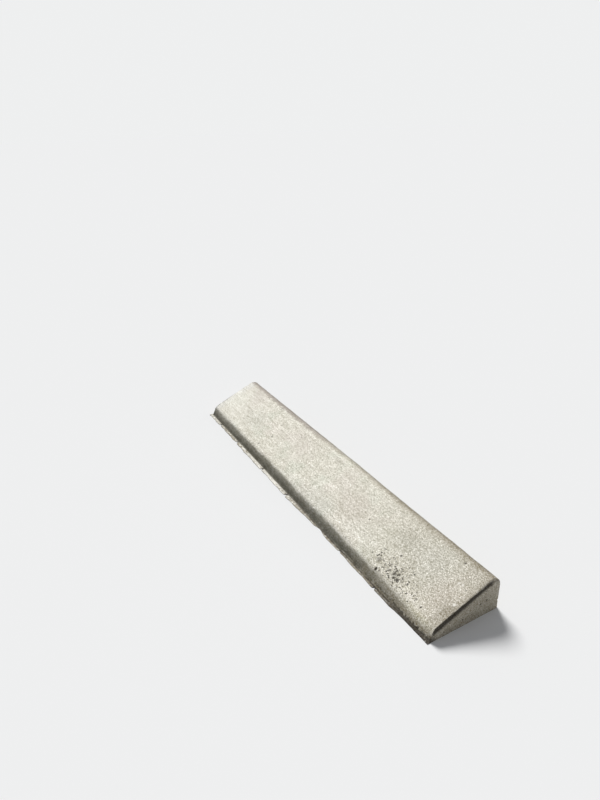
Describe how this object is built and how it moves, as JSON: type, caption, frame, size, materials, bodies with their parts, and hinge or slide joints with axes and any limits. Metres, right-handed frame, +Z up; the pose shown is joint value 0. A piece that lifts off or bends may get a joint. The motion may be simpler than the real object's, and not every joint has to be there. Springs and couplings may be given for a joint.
{
  "type": "concrete kerb stone",
  "caption": "Sloped-top concrete kerb unit: low battered front face, rounded knee, long slope up to a rolled back edge, flat bed and square ends with rounded edges.",
  "frame": {"origin": "middle of the flat bed, over the whole footprint with the thin front ledge", "axes": "+X along the stone's length, -Y towards the low front face, +Y towards the tall back face, +Z up from the bed"},
  "size_m": [2.05, 0.352, 0.152],
  "materials": {
    "concrete": "fine sandy, worn"
  },
  "bodies": {
    "root": {"kerb_stone": "concrete"}
  },
  "joints": []
}
